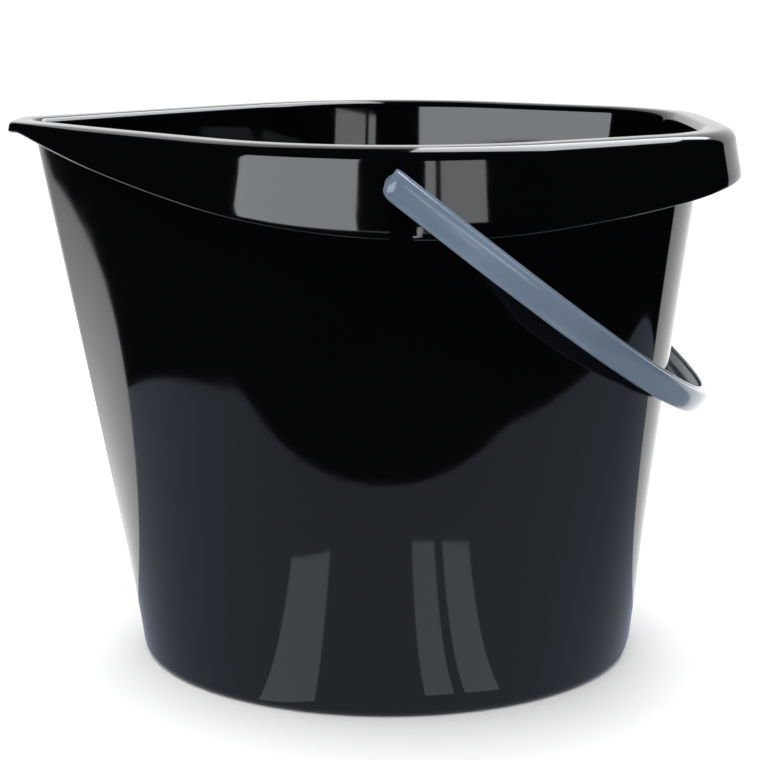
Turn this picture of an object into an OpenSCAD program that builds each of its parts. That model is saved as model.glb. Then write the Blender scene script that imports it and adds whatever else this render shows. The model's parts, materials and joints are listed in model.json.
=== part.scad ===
// Florist's bucket with a pouring lip, a hanging skirt under the rim and a swinging bail.
// Millimetres. +Z up, the lip points to -X, the pivots lie along Y.
// The origin is on the ground at the middle of the frame, under the pivot line.

/* [Bucket] */
// Height from the ground to the top of the rim
body_h = 250; // [240:1:270]
// Half length of the base
base_rx = 117; // [108:1:122]
// Half width of the base
base_ry = 99; // [92:1:106]
// Thickness of the wall
wall_t = 2.2; // [1.8:0.1:2.6]
// Height of the floor's underside above the ground
foot_h = 10; // [8:0.5:13]
// Height of the finger arch in the foot, at the grip end
arch_h = 9.2; // [6:0.2:9.6]
// Half width of the finger arch
arch_w = 43; // [30:1:50]

/* [Rim and skirt] */
// Width of the rim, from its outer edge to the inside of the wall
rim_w = 15.5; // [14:0.5:17]
// Radius of the rim's outer edge
rim_roll = 6; // [5:0.25:6.5]
// Radius of the rim's inner edge
rim_inner = 4; // [3.5:0.25:5.5]
// Thickness of the skirt
skirt_t = 2.2; // [1.8:0.1:2.4]
// How far the skirt's lower edge leans out
skirt_lean = 3; // [1.5:0.25:3.5]
// Height of the skirt's lower edge at the pivots
skirt_z = 215; // [212:1:220]
// Radius of the sweep of the skirt's lower edge along the bucket
skirt_sweep = 575; // [500:5:700]

/* [Bail] */
// Angle of the bail below level, hanging at the grip end
bail_drop = 38; // [36:0.5:40]
// Reach of the bail from the pivots to its outer face
bail_reach = 180; // [178:0.5:186]
// Half width of the bail's strap
strap_w = 5.4; // [4.8:0.1:6]
// Depth of the strap's channel section
strap_d = 6; // [5:0.25:6.5]
// Radius of the pivot pegs
peg_r = 2.8; // [2.4:0.1:3.2]

/* [Hidden] */
$fn = 64;

// Corner circles of the rim's outer edge: [x, y, radius]
lip = [-155.4, 0, 28.2];
shoulder = [-4.5, -25.2, 116];
heel = [71.5, -31, 72.5];
// Radii of the bowed sides between the corners
lip_side = 2500;
heel_side = 2500;
end_side = 800;
// The base's middle, set back from the pivot line
base_x = -8.2;
// Pivot line and the seat in the skirt
pivot_x = -5;
pivot_z = body_h - 14;
seat_r = peg_r + 0.06;
// Outer face of the bail at the pivots, from the middle plane
bail_y = 151.5;
lip_t = 2.4;
floor_t = 2.5;
// Depth of the plain lip at its tip, and how far the rim narrows there
tip_t = 4.6;
// Where along the bucket the skirt's lower edge is at its lowest
skirt_mid = 15;
lip_pinch = 5;

// ---- rim outline: arcs that meet smoothly ----

// Centre of the large circle that holds two corner circles from outside
function bow(a, ra, b, rb, r) =
    let (d = norm(b - a), p = r - ra, q = r - rb,
         x = (d * d + p * p - q * q) / (2 * d),
         h = sqrt(p * p - x * x),
         e = (b - a) / d)
    a + e * x + [-e[1], e[0]] * h;

function xy(c) = [c[0], c[1]];
function heading(v) = let (a = atan2(v[1], v[0])) a < 0 ? a + 360 : a;

lip_bow = bow(xy(lip), lip[2], xy(shoulder), shoulder[2], lip_side);
heel_bow = bow(xy(shoulder), shoulder[2], xy(heel), heel[2], heel_side);
end_bow = [heel[0] - sqrt(pow(end_side - heel[2], 2) - pow(heel[1], 2)), 0];
turn_1 = heading(xy(lip) - lip_bow);
turn_2 = heading(xy(shoulder) - lip_bow);
turn_3 = heading(xy(shoulder) - heel_bow);
turn_4 = heading(xy(heel) - heel_bow);
turn_5 = heading(xy(heel) - end_bow);

// Stations along one arc: [centre x, centre y, radius, angle]
function stations(c, r, a0, a1, n) =
    [for (i = [0 : n - 1]) [c[0], c[1], r, a0 + (a1 - a0) * i / n]];

half = concat(
    stations(xy(lip), lip[2], 180, turn_1, 8),
    stations(lip_bow, lip_side, turn_1, turn_2, 12),
    stations(xy(shoulder), shoulder[2], turn_2, turn_3, 9),
    stations(heel_bow, heel_side, turn_3, turn_4, 8),
    stations(xy(heel), heel[2], turn_4, turn_5, 12),
    stations(end_bow, end_side, turn_5, 360, 6),
    [[end_bow[0], 0, end_side, 360]]);
steps = len(half) - 1;
outline = concat(half, [for (i = [steps - 1 : -1 : 1])
    [half[i][0], -half[i][1], half[i][2], -half[i][3]]]);
count = len(outline);

// How much narrower the rim is at a station round the pouring lip
function pinch(s) =
    lip_pinch * pow(max(0, (cos(turn_1) - cos(s[3])) / (1 + cos(turn_1))), 2);
// Point of the outline moved outwards by off, at height z
function rim_pt(s, off, z) =
    let (rim = max(0, off + rim_w - wall_t) / (rim_w - wall_t),
         r = s[2] + off - pinch(s) * rim)
    [s[0] + r * cos(s[3]), s[1] + r * sin(s[3]), z];

// ---- wall: straight draft from the oval base to the rim's outline ----

function base_pt(s, inset) =
    let (p = rim_pt(s, -rim_w, 0),
         a = atan2(p[1], p[0] - base_x),
         rx = base_rx - inset,
         ry = base_ry - inset,
         r = rx * ry / sqrt(pow(ry * cos(a), 2) + pow(rx * sin(a), 2)))
    [base_x + r * cos(a), r * sin(a), 0];
function wall_pt(s, off, inset, z) =
    let (b = base_pt(s, inset), t = rim_pt(s, off, 0), k = z / body_h)
    [b[0] + (t[0] - b[0]) * k, b[1] + (t[1] - b[1]) * k, z];
function outer_pt(s, z) = wall_pt(s, wall_t - rim_w, 0, z);
function inner_pt(s, z) = wall_pt(s, -rim_w, wall_t, z);

// ---- skirt: its depth fades to a plain lip at the pouring end ----

function skirt_low(s) =
    let (x = rim_pt(s, 0, 0)[0] - skirt_mid)
    min(skirt_z + x * x / (2 * skirt_sweep), body_h - tip_t);
function roll(s) = min(rim_roll, (body_h - skirt_low(s)) / 2);
function lean(s) = skirt_lean * min(1, (body_h - skirt_low(s) - lip_t) / 12);
function core(s) = max(roll(s) - skirt_t, 0.05);
function under(s, z) = min(z, body_h - lip_t + 0.1);
// A point of the skirt a fraction k of the way down, off its outer face by off
function skirt_pt(s, off, k) =
    let (top = body_h - roll(s))
    rim_pt(s, off + lean(s) * k, under(s, top + (skirt_low(s) - top) * k));

// Height of the rounded lower edge, kept below the rim where the skirt fades out
function skirt_end(s, up, gap) = min(skirt_low(s) + up, body_h - roll(s) - gap);

foot_rings = [
    [5.4, foot_h],
    [4.3, 0.7],
    [3.6, 0],
    [2.6, 0]];
foot_round = 4;
wall_low = foot_round;
wall_top = body_h - 8;
fillet = 8;
inner_low = foot_h + floor_t + fillet;
nook = 2.8;
nook_x = 10.5;
nook_z = body_h - 5;
// Slope of the wall at a station, and the inner roll that meets it smoothly
function draft(s) = norm(rim_pt(s, -rim_w, 0) - base_pt(s, wall_t)) / body_h;
function roll_in(s) = rim_inner * (sqrt(1 + draft(s) * draft(s)) - draft(s)) - rim_w;

// One closed ring of points for each step of the section, from the floor's
// underside round the foot, up the wall, over the rim and down to the floor
rings = concat(
    [for (f = foot_rings) [for (s = outline)
        let (p = base_pt(s, f[0])) [p[0], p[1], f[1]]]],
    [for (a = [30, 60]) [for (s = outline)
        let (z = foot_round * (1 - cos(a)), p = wall_pt(s, wall_t - rim_w, 2.6 * (1 - sin(a)), z))
        p]],
    [for (k = [0 : 7]) [for (s = outline) outer_pt(s, wall_low + (wall_top - wall_low) * k / 7)]],
    [for (a = [0, 45, 90]) [for (s = outline)
        rim_pt(s, -nook_x - nook * cos(a), nook_z + (5 - lip_t) * sin(a))]],
    [for (a = [90, 45, 0]) [for (s = outline)
        rim_pt(s, -roll(s) + core(s) * cos(a), under(s, body_h - roll(s) + core(s) * sin(a)))]],
    [for (k = [0.5, 0.95]) [for (s = outline) skirt_pt(s, core(s) - roll(s), k)]],
    [[for (s = outline) rim_pt(s, lean(s) + core(s) - roll(s) + 0.4, skirt_low(s))],
     [for (s = outline) rim_pt(s, lean(s) - 0.55, skirt_low(s))],
     [for (s = outline) rim_pt(s, lean(s) - 0.1, skirt_end(s, 0.35, 0.3))],
     [for (s = outline) rim_pt(s, lean(s), skirt_end(s, 0.9, 0.2))],
     [for (s = outline) rim_pt(s, lean(s) / 2, (skirt_low(s) + body_h - roll(s)) / 2 + 0.2)]],
    [for (a = [0 : 15 : 90]) [for (s = outline)
        rim_pt(s, -roll(s) * (1 - cos(a)), body_h - roll(s) * (1 - sin(a)))]],
    [for (k = [0 : 5]) [for (s = outline) let (a = 90 + (90 - atan(draft(s))) * k / 5)
        rim_pt(s, roll_in(s) + rim_inner * cos(a), body_h - rim_inner * (1 - sin(a)))]],
    [for (k = [0 : 7]) [for (s = outline) inner_pt(s, wall_top + (inner_low - wall_top) * k / 7)]],
    [for (a = [25, 50, 70, 90]) [for (s = outline)
        let (z = inner_low - fillet * sin(a), p = wall_pt(s, -rim_w, wall_t + fillet * (1 - cos(a)), z))
        p]]);

function band(j, n) = [for (i = [0 : n - 1]) let (a = j * n + i, b = j * n + (i + 1) % n)
    each [[a, a + n, b + n], [a, b + n, b]]];
function skin(list, n) = concat(
    [[for (i = [0 : n - 1]) i]],
    [for (j = [0 : len(list) - 2]) each band(j, n)],
    [[for (i = [n - 1 : -1 : 0]) (len(list) - 1) * n + i]]);

module shell() {
    polyhedron(points = [for (r = rings) each r], faces = skin(rings, count), convexity = 8);
}

// Seat for a peg, with the open slot below it that the peg is pushed up through
module seat() {
    translate([pivot_x, -134, pivot_z])
        rotate([90, 0, 0])
            cylinder(h = 18, r = seat_r);
    translate([pivot_x, -134, pivot_z])
        rotate([90, 0, 0])
            linear_extrude(18)
                polygon([[-peg_r + 0.3, -1], [peg_r - 0.3, -1], [peg_r - 0.3, -3],
                    [peg_r + 6.2, -30], [-peg_r + 0.3, -30], [-peg_r + 0.3, -3]]);
}

// Low arch in the foot under the grip end, for the fingers that tip the bucket
module arch() {
    r = (arch_w * arch_w + arch_h * arch_h) / (2 * arch_h);
    translate([80, 0, arch_h - r])
        rotate([0, 90, 0])
            cylinder(h = 60, r = r, $fn = 180);
}

module body() {
    color([0.012, 0.012, 0.014])
        difference() {
            shell();
            seat();
            mirror([0, 1, 0])
                seat();
            arch();
        }
}

// ---- bail: a channel section carried round a curved path ----

// Path of the strap's outer face: u away from the pivots, v across the bucket
function path_pt(k) =
    let (a = 90 * pow(k, 1.5))
    [bail_reach * pow(sin(a), 2 / 3.2), -bail_y * pow(max(cos(a), 0), 2 / 2.1)];
path_steps = 30;
quarter = [for (i = [1 : path_steps]) path_pt(i / path_steps)];
noses = [-3.9, -3.3, -2.2, -0.6, 2];
path = concat(
    [for (u = noses) [u, -bail_y]],
    quarter,
    [for (i = [path_steps - 2 : -1 : 0]) [quarter[i][0], -quarter[i][1]]],
    [for (i = [len(noses) - 1 : -1 : 0]) [noses[i], bail_y]]);
last = len(path) - 1;
function tangent(i) =
    let (t = path[min(i + 1, last)] - path[max(i - 1, 0)]) t / norm(t);

// How far a station is from the strap's end: 0 at the nose, 1 in the open channel
function from_end(i) = min(i, last - i);
low_side = [0.3, 0.62, 0.86, 0.98, 1];
top_side = [0.9, 0.97, 1, 1, 1];
crown_dip = [2.6, 1.3, 0.4, 0, 0];
function at_end(list, i, rest) = from_end(i) < len(list) ? list[from_end(i)] : rest;
function web(i) = from_end(i) < 7 ? strap_d - 0.4 : 2.1;

// Section of the strap: [across the strap, depth below the crown]
function section(i) =
    let (w = strap_w, d = strap_d, t = web(i), c = t > 3 ? 0.1 : 0.6)
    concat(
        [[-w - 0.5, d], [-w - 0.5, d - 0.9], [-w, d - 1.2]],
        [for (a = [180 : -22.5 : 90]) [-w + 2.6 + 2.6 * cos(a), 2.4 - 1.9 * sin(a)]],
        [[-w * 0.25, 0.1], [w * 0.25, 0.1]],
        [for (a = [90 : -22.5 : 0]) [w - 2.6 + 2.6 * cos(a), 2.4 - 1.9 * sin(a)]],
        [[w, d - 1.2], [w + 0.5, d - 0.9], [w + 0.5, d]],
        [[w - 1.5, d - 0.06], [w - 1.6, t + c], [w - 1.6 - c, t]],
        [[-w + 1.6 + c, t], [-w + 1.6, t + c], [-w + 1.5, d - 0.06]]);

function strap_ring(i) =
    let (g = tangent(i), n = [-g[1], g[0]] * -1, dip = at_end(crown_dip, i, 0),
         low = at_end(low_side, i, 1), top = at_end(top_side, i, 1))
    [for (q = section(i))
        let (s = q[0] * (q[0] < 0 ? low : top), h = dip + q[1] * (1 - dip / strap_d))
        [path[i][0] - n[0] * h, path[i][1] - n[1] * h, s]];
strap_rings = [for (i = [last : -1 : 0]) strap_ring(i)];
ring_n = len(strap_rings[0]);

module strap() {
    polyhedron(points = [for (r = strap_rings) each r], faces = skin(strap_rings, ring_n),
        convexity = 6);
}

// Peg through the skirt: a root in the strap, a collar outside the skirt, the neck in
// the seat and a head inside, all turned about the pivot line
module peg() {
    rotate([90, 0, 0])
        rotate_extrude()
            polygon([[0, 136.4], [3.6, 136.4], [4.3, 137.1], [4.3, 138.2], [peg_r, 138.2],
                [peg_r, 142.8], [4.5, 142.8], [4.5, 144.9], [3.1, 144.9], [3.1, bail_y - 3],
                [0, bail_y - 3]]);
}

module bail() {
    color([0.40, 0.47, 0.55, 0.8])
        translate([pivot_x, 0, pivot_z])
            rotate([0, bail_drop, 0]) {
                strap();
                peg();
                mirror([0, 1, 0])
                    peg();
            }
}

body();
bail();
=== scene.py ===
import json
import math

import bmesh
import bpy
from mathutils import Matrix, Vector


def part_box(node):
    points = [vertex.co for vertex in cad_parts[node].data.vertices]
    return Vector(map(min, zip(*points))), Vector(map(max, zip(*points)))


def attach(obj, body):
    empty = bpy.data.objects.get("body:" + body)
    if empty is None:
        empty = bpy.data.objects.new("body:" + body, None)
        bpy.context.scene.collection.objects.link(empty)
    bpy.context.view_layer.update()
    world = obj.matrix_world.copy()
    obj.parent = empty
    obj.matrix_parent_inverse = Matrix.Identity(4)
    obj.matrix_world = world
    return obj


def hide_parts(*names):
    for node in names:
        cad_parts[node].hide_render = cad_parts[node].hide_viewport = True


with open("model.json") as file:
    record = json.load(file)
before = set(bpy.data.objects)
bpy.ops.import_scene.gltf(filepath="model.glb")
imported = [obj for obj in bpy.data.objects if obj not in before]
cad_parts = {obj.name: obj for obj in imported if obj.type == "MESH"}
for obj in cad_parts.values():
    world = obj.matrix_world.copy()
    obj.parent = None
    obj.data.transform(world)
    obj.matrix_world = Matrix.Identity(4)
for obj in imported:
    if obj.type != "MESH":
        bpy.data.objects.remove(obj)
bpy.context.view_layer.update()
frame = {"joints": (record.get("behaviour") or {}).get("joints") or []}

MM = 0.001
_, body_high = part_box("body")
HEIGHT = body_high.z / MM
pivot_x, _, pivot_z = [v / MM for v in frame["joints"][0]["pos_m"]]

# ---------------------------------------------------------------- bucket form
# Corner circles of the rim's outer edge in millimetres: x, y, radius
LIP = (-155.4, 0.0, 28.2)
SHOULDER = (-4.5, -25.2, 116.0)
HEEL = (71.5, -31.0, 72.5)
LIP_SIDE, HEEL_SIDE, END_SIDE = 2500.0, 2500.0, 800.0
BASE_X, BASE_RX, BASE_RY = -8.2, 117.0, 99.0
WALL, FLOOR, FOOT = 2.2, 2.5, 10.0
RIM_W, RIM_ROLL, RIM_INNER, LIP_T = 15.5, 6.0, 4.0, 2.4
TIP_T, LIP_PINCH = 4.6, 5.0
SKIRT_T, SKIRT_LEAN, SKIRT_Z, SKIRT_SWEEP, SKIRT_MID = 2.2, 3.0, 215.0, 575.0, 15.0


def bow_centre(a, b, radius):
    """Middle of the large circle that two corner circles sit inside, touching it."""
    ax, ay, ra = a
    bx, by, rb = b
    d = math.hypot(bx - ax, by - ay)
    p, q = radius - ra, radius - rb
    along = (d * d + p * p - q * q) / (2 * d)
    across = math.sqrt(p * p - along * along)
    ex, ey = (bx - ax) / d, (by - ay) / d
    return ax + ex * along - ey * across, ay + ey * along + ex * across


def heading(centre, corner):
    """Direction from a centre to a corner circle's centre, from 0 to 360 degrees."""
    return math.degrees(math.atan2(corner[1] - centre[1], corner[0] - centre[0])) % 360


def arc_stations(centre, radius, start, end, count):
    return [(centre[0], centre[1], radius, start + (end - start) * i / count) for i in range(count)]


def rim_stations(fine):
    """Stations round the rim, as arcs that meet smoothly: centre x, centre y, radius, angle."""
    lip_bow = bow_centre(LIP, SHOULDER, LIP_SIDE)
    heel_bow = bow_centre(SHOULDER, HEEL, HEEL_SIDE)
    end_bow = (HEEL[0] - math.sqrt((END_SIDE - HEEL[2]) ** 2 - HEEL[1] ** 2), 0.0)
    a1, a2 = heading(lip_bow, LIP), heading(lip_bow, SHOULDER)
    a3, a4 = heading(heel_bow, SHOULDER), heading(heel_bow, HEEL)
    a5 = heading(end_bow, HEEL)
    half = arc_stations(LIP, LIP[2], 180, a1, 8 * fine)
    half += arc_stations(lip_bow, LIP_SIDE, a1, a2, 10 * fine)
    half += arc_stations(SHOULDER, SHOULDER[2], a2, a3, 9 * fine)
    half += arc_stations(heel_bow, HEEL_SIDE, a3, a4, 7 * fine)
    half += arc_stations(HEEL, HEEL[2], a4, a5, 12 * fine)
    half += arc_stations(end_bow, END_SIDE, a5, 360, 6 * fine)
    far = [(x, -y, r, -a) for x, y, r, a in half[:0:-1]]
    return half + [(end_bow[0], 0.0, END_SIDE, 360.0)] + far


def lip_corner():
    """Cosine of the heading at which the corner of the pouring lip ends."""
    return math.cos(math.radians(heading(bow_centre(LIP, SHOULDER, LIP_SIDE), LIP)))


LIP_COS = lip_corner()


def rim_point(s, off, z):
    """A point of the rim's outline moved outwards by off; the rim narrows round the lip."""
    a = math.radians(s[3])
    pinch = LIP_PINCH * max(0, (LIP_COS - math.cos(a)) / (1 + LIP_COS)) ** 2
    r = s[2] + off - pinch * max(0, off + RIM_W - WALL) / (RIM_W - WALL)
    return Vector((s[0] + r * math.cos(a), s[1] + r * math.sin(a), z))


def base_point(s, inset, z=0.0):
    """The point of the oval base under a station of the rim."""
    p = rim_point(s, -RIM_W, 0)
    a = math.atan2(p.y, p.x - BASE_X)
    rx, ry = BASE_RX - inset, BASE_RY - inset
    r = rx * ry / math.hypot(ry * math.cos(a), rx * math.sin(a))
    return Vector((BASE_X + r * math.cos(a), r * math.sin(a), z))


def wall_point(s, off, inset, z):
    """A point of the straight-drafted wall between the base and the rim."""
    foot, top = base_point(s, inset), rim_point(s, off, 0)
    p = foot.lerp(top, z / HEIGHT)
    p.z = z
    return p


def skirt_low(s):
    return min(SKIRT_Z + (rim_point(s, 0, 0).x - SKIRT_MID) ** 2 / (2 * SKIRT_SWEEP), HEIGHT - TIP_T)


def bucket_section(s):
    """Section of the bucket at one station, from the floor's underside round to its top."""
    low = skirt_low(s)
    roll = min(RIM_ROLL, (HEIGHT - low) / 2)
    lean = SKIRT_LEAN * min(1, (HEIGHT - low - LIP_T) / 12)
    core = max(roll - SKIRT_T, 0.05)
    under = HEIGHT - LIP_T + 0.1
    draft = (rim_point(s, -RIM_W, 0) - base_point(s, WALL)).length / HEIGHT
    edge = -RIM_W + RIM_INNER * (math.hypot(1, draft) - draft)
    inner_top = HEIGHT - RIM_INNER * (1 - math.sin(math.atan(draft)))
    wall_top = HEIGHT - 8
    inner_low = FOOT + FLOOR + 8
    pts = [base_point(s, 5.4, FOOT), base_point(s, 4.3, 0.7), base_point(s, 3.9, 0.15),
           base_point(s, 3.4, 0), base_point(s, 2.6, 0)]
    for a in (15, 30, 45, 60, 75):
        t = math.radians(a)
        pts.append(wall_point(s, WALL - RIM_W, 2.6 * (1 - math.sin(t)), 4 * (1 - math.cos(t))))
    for k in range(15):
        pts.append(wall_point(s, WALL - RIM_W, 0, 4 + (wall_top - 4) * k / 14))
    for a in (0, 30, 60, 90):
        t = math.radians(a)
        pts.append(rim_point(s, -10.5 - 2.8 * math.cos(t), HEIGHT - 5 + (5 - LIP_T) * math.sin(t)))
    for a in (90, 60, 30, 0):
        t = math.radians(a)
        pts.append(rim_point(s, -roll + core * math.cos(t),
                             min(HEIGHT - roll + core * math.sin(t), under)))
    top = HEIGHT - roll
    for k in (0.33, 0.66, 0.93):
        pts.append(rim_point(s, core - roll + lean * k, min(top + (low - top) * k, under)))
    pts.append(rim_point(s, lean + core - roll + 0.35, low + 0.04))
    pts.append(rim_point(s, lean - 0.75, low))
    for up, back, gap in ((0.1, 0.35, 0.4), (0.38, 0.1, 0.32), (0.8, 0, 0.25)):
        pts.append(rim_point(s, lean - back, min(low + up, top - gap)))
    for k in (0.75, 0.5, 0.25):
        pts.append(rim_point(s, lean * k, top + (low - top) * k + 0.1))
    for k in range(10):
        t = math.radians(10 * k)
        pts.append(rim_point(s, -roll * (1 - math.cos(t)), HEIGHT - roll * (1 - math.sin(t))))
    for k in range(9):
        t = math.pi / 2 + (math.pi / 2 - math.atan(draft)) * k / 9
        pts.append(rim_point(s, edge + RIM_INNER * math.cos(t), HEIGHT - RIM_INNER * (1 - math.sin(t))))
    for k in range(16):
        pts.append(wall_point(s, -RIM_W, WALL, inner_top + (inner_low - inner_top) * k / 15))
    for a in (15, 30, 45, 60, 75, 90):
        t = math.radians(a)
        pts.append(wall_point(s, -RIM_W, WALL + 8 * (1 - math.cos(t)), inner_low - 8 * math.sin(t)))
    return pts


def extrude_ring(bm, ring, places):
    """Extrudes a closed ring of vertices and moves the new one to its places."""
    edges = [bm.edges.get((a, b)) for a, b in zip(ring, ring[1:] + ring[:1])]
    made = bmesh.ops.extrude_edge_only(bm, edges=edges)["geom"]
    new = {v for v in made if isinstance(v, bmesh.types.BMVert)}
    follow = [next(e.other_vert(v) for e in v.link_edges if e.other_vert(v) in new) for v in ring]
    for v, place in zip(follow, places):
        v.co = place
    return follow


def ring_skin(bm, rings, cap_start=True, cap_end=True):
    """Skins closed rings of points, one extrusion for each, and fills the open ends."""
    made = bmesh.ops.create_circle(bm, segments=len(rings[0]), radius=1)["verts"]
    first = ring = list(made)
    for v, place in zip(ring, rings[0]):
        v.co = place
    for places in rings[1:]:
        ring = extrude_ring(bm, ring, places)
    for wanted, loop in ((cap_start, first), (cap_end, ring)):
        if wanted:
            bmesh.ops.contextual_create(bm, geom=loop)
    return first, ring


def flat_face(bm, places):
    """A single face with its corners at the places given, in order; returns its vertices."""
    made = bmesh.ops.create_circle(bm, cap_ends=True, segments=len(places), radius=1)["verts"]
    for v, place in zip(made, places):
        v.co = place
    return made


def thicken(bm, vec):
    """Extrudes the only face of a bmesh along vec."""
    out = bmesh.ops.extrude_face_region(bm, geom=list(bm.faces))["geom"]
    bmesh.ops.translate(bm, vec=vec, verts=[g for g in out if isinstance(g, bmesh.types.BMVert)])


def new_piece(name, bm, material, smooth=35):
    """Turns a bmesh into an object with its faces outwards and its sharp edges marked."""
    bmesh.ops.recalc_face_normals(bm, faces=bm.faces)
    mesh = bpy.data.meshes.new(name)
    bm.to_mesh(mesh)
    bm.free()
    mesh.materials.append(material)
    piece = bpy.data.objects.new(name, mesh)
    bpy.context.collection.objects.link(piece)
    for polygon in mesh.polygons:
        polygon.use_smooth = True
    mesh.set_sharp_from_angle(angle=math.radians(smooth))
    return piece


# ---------------------------------------------------------------- materials
def node(tree, kind, **settings):
    made = tree.nodes.new(kind)
    for key, value in settings.items():
        if key in made.inputs:
            made.inputs[key].default_value = value
        else:
            setattr(made, key, value)
    return made


def gloss_black():
    """Injection-moulded black polypropylene: deep gloss with a faint flow ripple and handling marks."""
    m = bpy.data.materials.new("gloss_black")
    m.use_nodes = True
    t = m.node_tree
    b = t.nodes["Principled BSDF"]
    b.inputs["IOR"].default_value = 1.5
    place = node(t, "ShaderNodeTexCoord")
    flow = node(t, "ShaderNodeTexNoise", Scale=14.0, Detail=2.0, Roughness=0.4)
    t.links.new(place.outputs["Object"], flow.inputs["Vector"])
    marks = node(t, "ShaderNodeTexNoise", Scale=90.0, Detail=6.0, Roughness=0.7)
    t.links.new(place.outputs["Object"], marks.inputs["Vector"])
    rough = node(t, "ShaderNodeMapRange")
    rough.inputs["From Min"].default_value = 0.35
    rough.inputs["From Max"].default_value = 0.75
    rough.inputs["To Min"].default_value = 0.045
    rough.inputs["To Max"].default_value = 0.085
    t.links.new(marks.outputs["Fac"], rough.inputs["Value"])
    t.links.new(rough.outputs["Result"], b.inputs["Roughness"])
    mix = node(t, "ShaderNodeMix", data_type="RGBA")
    mix.inputs["A"].default_value = (0.0008, 0.0009, 0.0012, 1)
    mix.inputs["B"].default_value = (0.0018, 0.0019, 0.0025, 1)
    t.links.new(flow.outputs["Fac"], mix.inputs["Factor"])
    t.links.new(mix.outputs["Result"], b.inputs["Base Color"])
    ripple = node(t, "ShaderNodeBump", Strength=0.05, Distance=0.002)
    t.links.new(flow.outputs["Fac"], ripple.inputs["Height"])
    t.links.new(ripple.outputs["Normal"], b.inputs["Normal"])
    return m


def smoke_plastic():
    """Smoky see-through polypropylene of the bail: satin gloss, cloudy inside, its colour darkened
    towards the lower end as painted shade.
    """
    m = bpy.data.materials.new("smoke_plastic")
    m.use_nodes = True
    t = m.node_tree
    b = t.nodes["Principled BSDF"]
    b.inputs["IOR"].default_value = 1.49
    b.inputs["Transmission Weight"].default_value = 0.35
    place = node(t, "ShaderNodeTexCoord")
    cloud = node(t, "ShaderNodeTexNoise", Scale=30.0, Detail=3.0, Roughness=0.5)
    t.links.new(place.outputs["Object"], cloud.inputs["Vector"])
    mix = node(t, "ShaderNodeMix", data_type="RGBA")
    mix.inputs["A"].default_value = (0.14, 0.19, 0.26, 1)
    mix.inputs["B"].default_value = (0.19, 0.25, 0.33, 1)
    t.links.new(cloud.outputs["Fac"], mix.inputs["Factor"])
    # Painted shade: the bail's colour is scaled from full down to 0.4 as its height falls from 0.21 m to
    # 0.11 m.
    axes = node(t, "ShaderNodeSeparateXYZ")
    t.links.new(place.outputs["Object"], axes.inputs["Vector"])
    lower_painted_shade = node(t, "ShaderNodeMapRange")
    lower_painted_shade.inputs["From Min"].default_value = 0.11
    lower_painted_shade.inputs["From Max"].default_value = 0.21
    lower_painted_shade.inputs["To Min"].default_value = 0.40
    lower_painted_shade.inputs["To Max"].default_value = 1.0
    t.links.new(axes.outputs["Z"], lower_painted_shade.inputs["Value"])
    shade = node(t, "ShaderNodeVectorMath", operation="SCALE")
    t.links.new(mix.outputs["Result"], shade.inputs[0])
    t.links.new(lower_painted_shade.outputs["Result"], shade.inputs["Scale"])
    t.links.new(shade.outputs["Vector"], b.inputs["Base Color"])
    rough = node(t, "ShaderNodeMapRange")
    rough.inputs["To Min"].default_value = 0.10
    rough.inputs["To Max"].default_value = 0.20
    t.links.new(cloud.outputs["Fac"], rough.inputs["Value"])
    t.links.new(rough.outputs["Result"], b.inputs["Roughness"])
    grain = node(t, "ShaderNodeBump", Strength=0.06, Distance=0.001)
    t.links.new(cloud.outputs["Fac"], grain.inputs["Height"])
    t.links.new(grain.outputs["Normal"], b.inputs["Normal"])
    return m


black = gloss_black()
smoke = smoke_plastic()

# ---------------------------------------------------------------- bucket
PEG_R = 2.8
SEAT_R = PEG_R + 0.06
SLOT_Y, SLOT_DEPTH = 134.0, 18.0
ARCH_X, ARCH_DEPTH, ARCH_W, ARCH_H = 80.0, 60.0, 43.0, 9.2


def cutter(name, bm):
    """A hidden shape that a Boolean takes out of the bucket."""
    bmesh.ops.recalc_face_normals(bm, faces=bm.faces)
    mesh = bpy.data.meshes.new(name)
    bm.to_mesh(mesh)
    bm.free()
    piece = bpy.data.objects.new(name, mesh)
    bpy.context.collection.objects.link(piece)
    return piece


def slot_cutter(side):
    """Keyhole of the seat and its open slot, cut through the skirt from outside."""
    bm = bmesh.new()
    turns = [math.radians(a) for a in range(-75, 256, 11)]
    line = [(SEAT_R * math.cos(a), SEAT_R * math.sin(a)) for a in turns]
    line += [(0.3 - PEG_R, -3), (0.3 - PEG_R, -30), (PEG_R + 6.2, -30), (PEG_R - 0.3, -3)]
    flat_face(bm, [Vector((pivot_x + x, side * SLOT_Y, pivot_z + z)) * MM for x, z in line])
    thicken(bm, (0, side * SLOT_DEPTH * MM, 0))
    return cutter("slot_cut_%d" % (side + 1), bm)


def arch_cutter():
    """Low arch of the finger grip under the end of the foot."""
    r = (ARCH_W ** 2 + ARCH_H ** 2) / (2 * ARCH_H)
    bm = bmesh.new()
    made = bmesh.ops.create_circle(bm, cap_ends=True, segments=256, radius=r * MM)
    for v in made["verts"]:
        v.co = Vector((ARCH_X * MM, v.co.x, v.co.y + (ARCH_H - r) * MM))
    thicken(bm, (ARCH_DEPTH * MM, 0, 0))
    return cutter("arch_cut", bm)


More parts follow.
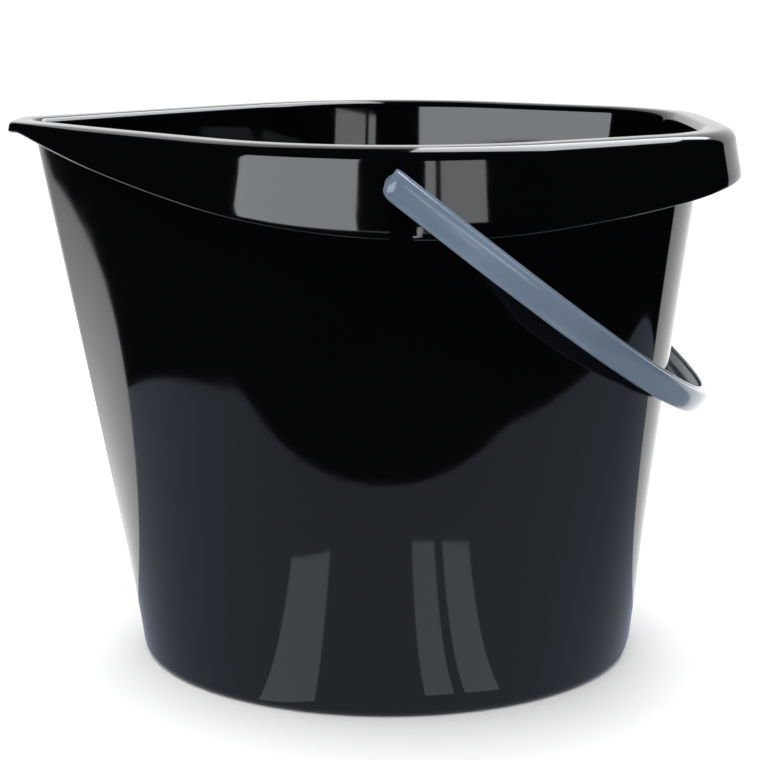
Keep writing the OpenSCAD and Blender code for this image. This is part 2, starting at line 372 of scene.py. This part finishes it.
def build_bucket():
    stations = rim_stations(3)
    sections = [bucket_section(s) for s in stations]
    rings = [[sec[k] * MM for sec in sections] for k in range(len(sections[0]))]
    bm = bmesh.new()
    ring_skin(bm, rings)
    piece = new_piece("bucket_shell", bm, black)
    for tool in (slot_cutter(-1), slot_cutter(1), arch_cutter()):
        cut = piece.modifiers.new(tool.name, "BOOLEAN")
        cut.operation = "DIFFERENCE"
        cut.solver = "EXACT"
        cut.object = tool
    bpy.context.view_layer.update()
    shaped = bpy.data.meshes.new_from_object(piece.evaluated_get(bpy.context.evaluated_depsgraph_get()))
    tools = [m.object for m in piece.modifiers]
    piece.modifiers.clear()
    piece.data = shaped
    for tool in tools:
        bpy.data.objects.remove(tool)
    shaped.set_sharp_from_angle(angle=math.radians(35))
    return piece


bucket = build_bucket()
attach(bucket, "bucket")
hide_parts("body")

# ---------------------------------------------------------------- bail
REACH, BAIL_Y, STRAP_W, STRAP_D, DROP = 180.0, 151.5, 5.4, 6.0, 38.0


def bail_path(fine):
    """Outer line of the strap: distance from the pivots and place across the bucket."""
    quarter = []
    for i in range(1, fine + 1):
        a = math.radians(90 * (i / fine) ** 1.5)
        quarter.append((REACH * math.sin(a) ** (2 / 3.2), -BAIL_Y * max(math.cos(a), 0) ** (2 / 2.1)))
    near = [(u, -BAIL_Y) for u in (-3.9, -3.75, -3.3, -2.5, -1.4, 0, 2, 4.5)] + quarter
    return near + [(u, -v) for u, v in near[-2::-1]]


def strap_section(web):
    """Section of the strap: place across it and depth below its crown."""
    w, d = STRAP_W, STRAP_D
    side = [(-w - 0.1, d), (-w - 0.4, d - 0.1), (-w - 0.5, d - 0.35), (-w - 0.48, d - 0.8),
            (-w - 0.25, d - 1.05), (-w, d - 1.25), (-w, d - 2.2)]
    turn = [math.radians(6 * k) for k in range(1, 15)]
    round_edge = [(-w, 2.5)] + [(-w * math.cos(a) ** 0.86, 2.5 - 2.5 * math.sin(a) ** 0.86) for a in turn]
    inner = [(-w + 1.3, d), (-w + 1.5, d - 0.2), (-w + 1.6, web + 0.7), (-w + 1.8, web + 0.2),
             (-w + 2.3, web)]
    if web > 3:
        inner = [(-w + 1.3, d), (-w + 1.5, d - 0.05), (-w + 1.6, d - 0.1), (-w + 1.8, d - 0.15),
                 (-w + 2.3, d - 0.2)]
    left = side + round_edge
    right = [(-x, y) for x, y in reversed(left)]
    inner_right = [(-x, y) for x, y in inner]
    return left + [(0, 0)] + right + inner_right + [(0, inner[-1][1])] + inner[::-1]


def build_bail():
    path = bail_path(64)
    last = len(path) - 1
    low_side = (0.18, 0.42, 0.62, 0.78, 0.9, 0.97, 1, 1)
    top_side = (0.86, 0.93, 0.97, 0.99, 1, 1, 1, 1)
    crown_dip = (3.4, 2.4, 1.5, 0.8, 0.35, 0.1, 0, 0)
    swing = math.radians(DROP)
    rings = []
    for i, (u, v) in enumerate(path):
        (u0, v0), (u1, v1) = path[max(i - 1, 0)], path[min(i + 1, last)]
        length = math.hypot(u1 - u0, v1 - v0)
        nu, nv = (v1 - v0) / length, -(u1 - u0) / length
        end = min(i, last - i)
        low, top, dip = [k[end] if end < 8 else r for k, r in
                         ((low_side, 1), (top_side, 1), (crown_dip, 0))]
        ring = []
        for across, depth in strap_section(5 if end < 10 else 2.1):
            across *= low if across < 0 else top
            depth = dip + depth * (1 - dip / STRAP_D)
            pu, pv = u - nu * depth, v - nv * depth
            ring.append(Vector((pivot_x + pu * math.cos(swing) + across * math.sin(swing), pv,
                                pivot_z - pu * math.sin(swing) + across * math.cos(swing))) * MM)
        rings.append(ring)
    bm = bmesh.new()
    ring_skin(bm, rings)
    return new_piece("bail_strap", bm, smoke, 40)


def build_peg(side):
    """Turned peg: root in the strap, collar, neck in the seat and head behind the skirt."""
    line = [(0.01, 136.4), (3.5, 136.4), (4.1, 136.6), (4.3, 137.1), (4.3, 138.0), (4.1, 138.2),
            (PEG_R, 138.2), (PEG_R, 142.8), (4.3, 142.8), (4.5, 143.0), (4.5, 144.7), (4.3, 144.9),
            (3.1, 144.9), (3.1, BAIL_Y - 3), (0.01, BAIL_Y - 3)]
    rings = [[Vector((pivot_x + r * math.cos(math.radians(a)), side * y,
                      pivot_z + r * math.sin(math.radians(a)))) * MM for a in range(0, 360, 9)]
             for r, y in line]
    bm = bmesh.new()
    ring_skin(bm, rings)
    return new_piece("bail_peg_near" if side < 0 else "bail_peg_far", bm, smoke, 30)


strap = build_bail()
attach(strap, "handle")
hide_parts("bail")
for side in (-1, 1):
    peg = build_peg(side)
    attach(peg, "handle")


# ---------------------------------------------------------------- studio
def plain(name, colour, strength=0.0, roughness=0.6):
    m = bpy.data.materials.new(name)
    m.use_nodes = True
    b = m.node_tree.nodes["Principled BSDF"]
    b.inputs["Base Color"].default_value = (0, 0, 0, 1) if strength else (*colour, 1)
    b.inputs["Roughness"].default_value = roughness
    b.inputs["Specular IOR Level"].default_value = 0
    if strength:
        b.inputs["Emission Color"].default_value = (*colour, 1)
        b.inputs["Emission Strength"].default_value = strength
    return m


def panel(name, material, corners, hidden=True):
    """A flat four-cornered panel of the studio; a hidden one shows in reflections only."""
    bm = bmesh.new()
    flat_face(bm, corners)
    mesh = bpy.data.meshes.new(name)
    bm.to_mesh(mesh)
    bm.free()
    mesh.materials.append(material)
    piece = bpy.data.objects.new(name, mesh)
    bpy.context.collection.objects.link(piece)
    if hidden:
        piece.visible_camera = False
        piece.visible_diffuse = False
        piece.visible_shadow = False
        piece.visible_transmission = False
    return piece


FLOOR_HALF = 6
floor_paint = plain("pale_floor", (0.97, 0.97, 0.975))
panel("floor", floor_paint, ((-FLOOR_HALF, -FLOOR_HALF, 0), (FLOOR_HALF, -FLOOR_HALF, 0),
                             (FLOOR_HALF, FLOOR_HALF, 0), (-FLOOR_HALF, FLOOR_HALF, 0)), hidden=False)

# Black card for the hidden screens, ground and roof: painted shade of the dark studio, shown in
# reflections only.
dark = plain("dark_card", (0.0, 0.0, 0.0), roughness=1.0)


def direction(azimuth, elevation, distance):
    """A place seen from the bucket: azimuth from -Y towards +X, elevation, level distance."""
    a, e = math.radians(azimuth), math.radians(elevation)
    return (distance * math.sin(a), -distance * math.cos(a), 0.15 + distance * math.tan(e))


def screen(left, right, low, high, distance):
    """Corners of an upright panel between two azimuths and two elevations."""
    return (direction(left, low, distance), direction(right, low, distance),
            direction(right, high, distance), direction(left, high, distance))


LAMP_WHITE = (0.92, 0.96, 1.0)
LAMP_REACH = 1.6


def softbox(name, left, right, low, high, strength):
    """A lit panel in front of the bucket, for its reflections only."""
    return panel(name, plain(name, LAMP_WHITE, strength, 1.0), screen(left, right, low, high, LAMP_REACH))


SCREEN_REACH, SCREEN_LOW, SCREEN_HIGH = 1.7, -12, 58
# Dark screens round the front of the bucket: painted shade in its reflections.
for k in range(26):
    left = -140 + 10 * k
    panel("dark_screen_%02d" % k, dark, screen(left, left + 10, SCREEN_LOW, SCREEN_HIGH, SCREEN_REACH))
# An oval table top under the bucket as a glowing card, a painted reflection of the lit table, with dark
# cards beyond its front edge as painted shade; both show in reflections only
TABLE_RX, TABLE_RY = 0.60, 0.30
TABLE_STEPS = 30
TABLE_Z, GLOW_Z = 0.0015, 0.002
GLOW_NEAR, GLOW_FAR = 0.11, 0.24
# The table card glows though it is no lamp: painted light of the lit table, seen only in reflections.
table_card = plain("table_card", (0.80, 0.90, 1.12), 0.46, 1.0)


def table_edge(k, reach):
    """A place on the table's edge, counted from the left, moved in or out by reach."""
    turn = math.radians(-30 + 240 * k / TABLE_STEPS)
    return (-TABLE_RX * reach * math.cos(turn), -TABLE_RY * reach * math.sin(turn), TABLE_Z)


for k in range(TABLE_STEPS):
    panel("table_card_%02d" % k, table_card,
          (table_edge(k, 0.1), table_edge(k + 1, 0.1), table_edge(k + 1, 1), table_edge(k, 1)))
    panel("dark_ground_%02d" % k, dark,
          (table_edge(k, 1), table_edge(k + 1, 1), table_edge(k + 1, 5), table_edge(k, 5)))


def painted_light_strip(name, azimuth, spread):
    """A glowing strip on the table that widens away from the foot: a painted pool of light, shown in
    reflections only.
    """
    corners = []
    for side, reach in ((-1, GLOW_NEAR), (1, GLOW_NEAR), (1, GLOW_FAR), (-1, GLOW_FAR)):
        a = math.radians(azimuth + side * spread / 2)
        corners.append((reach * math.sin(a), -reach * math.cos(a), GLOW_Z))
    return panel(name, glow, corners)


# Painted pools of light on the table, as glowing strips seen only in reflections.
glow = plain("table_glow", (0.84, 0.91, 1.05), 1.35, 1.0)
painted_light_strip("table_glow_left", -30, 14)
painted_light_strip("table_glow_mid", 10, 8)
painted_light_strip("table_glow_right", 22, 10)
softbox("left_box", -65, -15, -10, 25, 5.0)
softbox("slim_box", 8, 10, -14, 1, 5.0)
softbox("right_box_a", 11, 15, 4, 16, 3.4)
softbox("right_box_b", 17, 35, 4, 16, 3.0)


def overhead(name, material, left, right, front, back, height):
    """A level panel above the bucket."""
    return panel(name, material, ((left, front, height), (right, front, height),
                                  (right, back, height), (left, back, height)))


overhead("top_box_card", plain("top_box_card", LAMP_WHITE, 9.0, 1.0), 0.1, 2.4, -0.25, 1.9, 1.95)
# Dark roof overhead: painted shade in the bucket's reflections.
overhead("dark_roof", dark, -3, 3, -2.6, 0.9, 2.1)

world = bpy.data.worlds.new("studio")
world.use_nodes = True
world.node_tree.nodes["Background"].inputs["Color"].default_value = (1, 1, 1, 1)
world.node_tree.nodes["Background"].inputs["Strength"].default_value = 1.08
bpy.context.scene.world = world


def lamp(name, place, aim, size, power):
    """A soft rectangular light that shows in no reflection."""
    light = bpy.data.lights.new(name, "AREA")
    light.shape = "RECTANGLE"
    light.size, light.size_y = size
    light.energy = power
    piece = bpy.data.objects.new(name, light)
    piece.location = place
    piece.rotation_euler = (Vector(aim) - Vector(place)).to_track_quat("-Z", "Y").to_euler()
    piece.visible_camera = False
    piece.visible_glossy = False
    bpy.context.collection.objects.link(piece)
    return piece


lamp("top_box", (0, 0.2, 2.2), (0, 0, 0), (2.0, 2.0), 45)

SENSOR_MM = 36
LENS_MM = 81.521
CAMERA_PLACE = (-0.0089, -0.7928, 0.3109)
CAMERA_DOWN = 13.016
CAMERA_TURN = 0.189
camera = bpy.data.cameras.new("camera")
camera.sensor_width = SENSOR_MM
camera.lens = LENS_MM
tripod = bpy.data.objects.new("camera", camera)
tripod.location = CAMERA_PLACE
tripod.rotation_euler = (math.radians(90 - CAMERA_DOWN), 0, math.radians(CAMERA_TURN))
bpy.context.collection.objects.link(tripod)
bpy.context.scene.camera = tripod
bpy.context.scene.view_settings.view_transform = "Standard"
